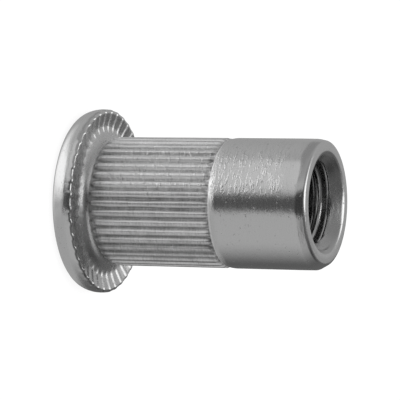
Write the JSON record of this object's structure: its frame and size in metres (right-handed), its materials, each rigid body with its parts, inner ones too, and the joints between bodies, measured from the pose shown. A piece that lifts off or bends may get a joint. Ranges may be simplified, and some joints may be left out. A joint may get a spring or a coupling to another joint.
{
  "type": "rivet nut",
  "caption": "Flat-head rivet nut with a ribbed head underside, a straight-knurled thin sleeve and a smooth thick end with an internal thread and countersunk mouth.",
  "frame": {"origin": "centre of the head's outer face, on which the nut stands", "axes": "+Z runs along the nut's axis, from the head to the open threaded end"},
  "size_m": [0.01, 0.01, 0.0139],
  "materials": {
    "plated_steel": "bright zinc plate, neutral grey, lightly scratched and pitted from tumbling"
  },
  "bodies": {
    "root": {"rivet_nut": "plated_steel"}
  },
  "joints": []
}
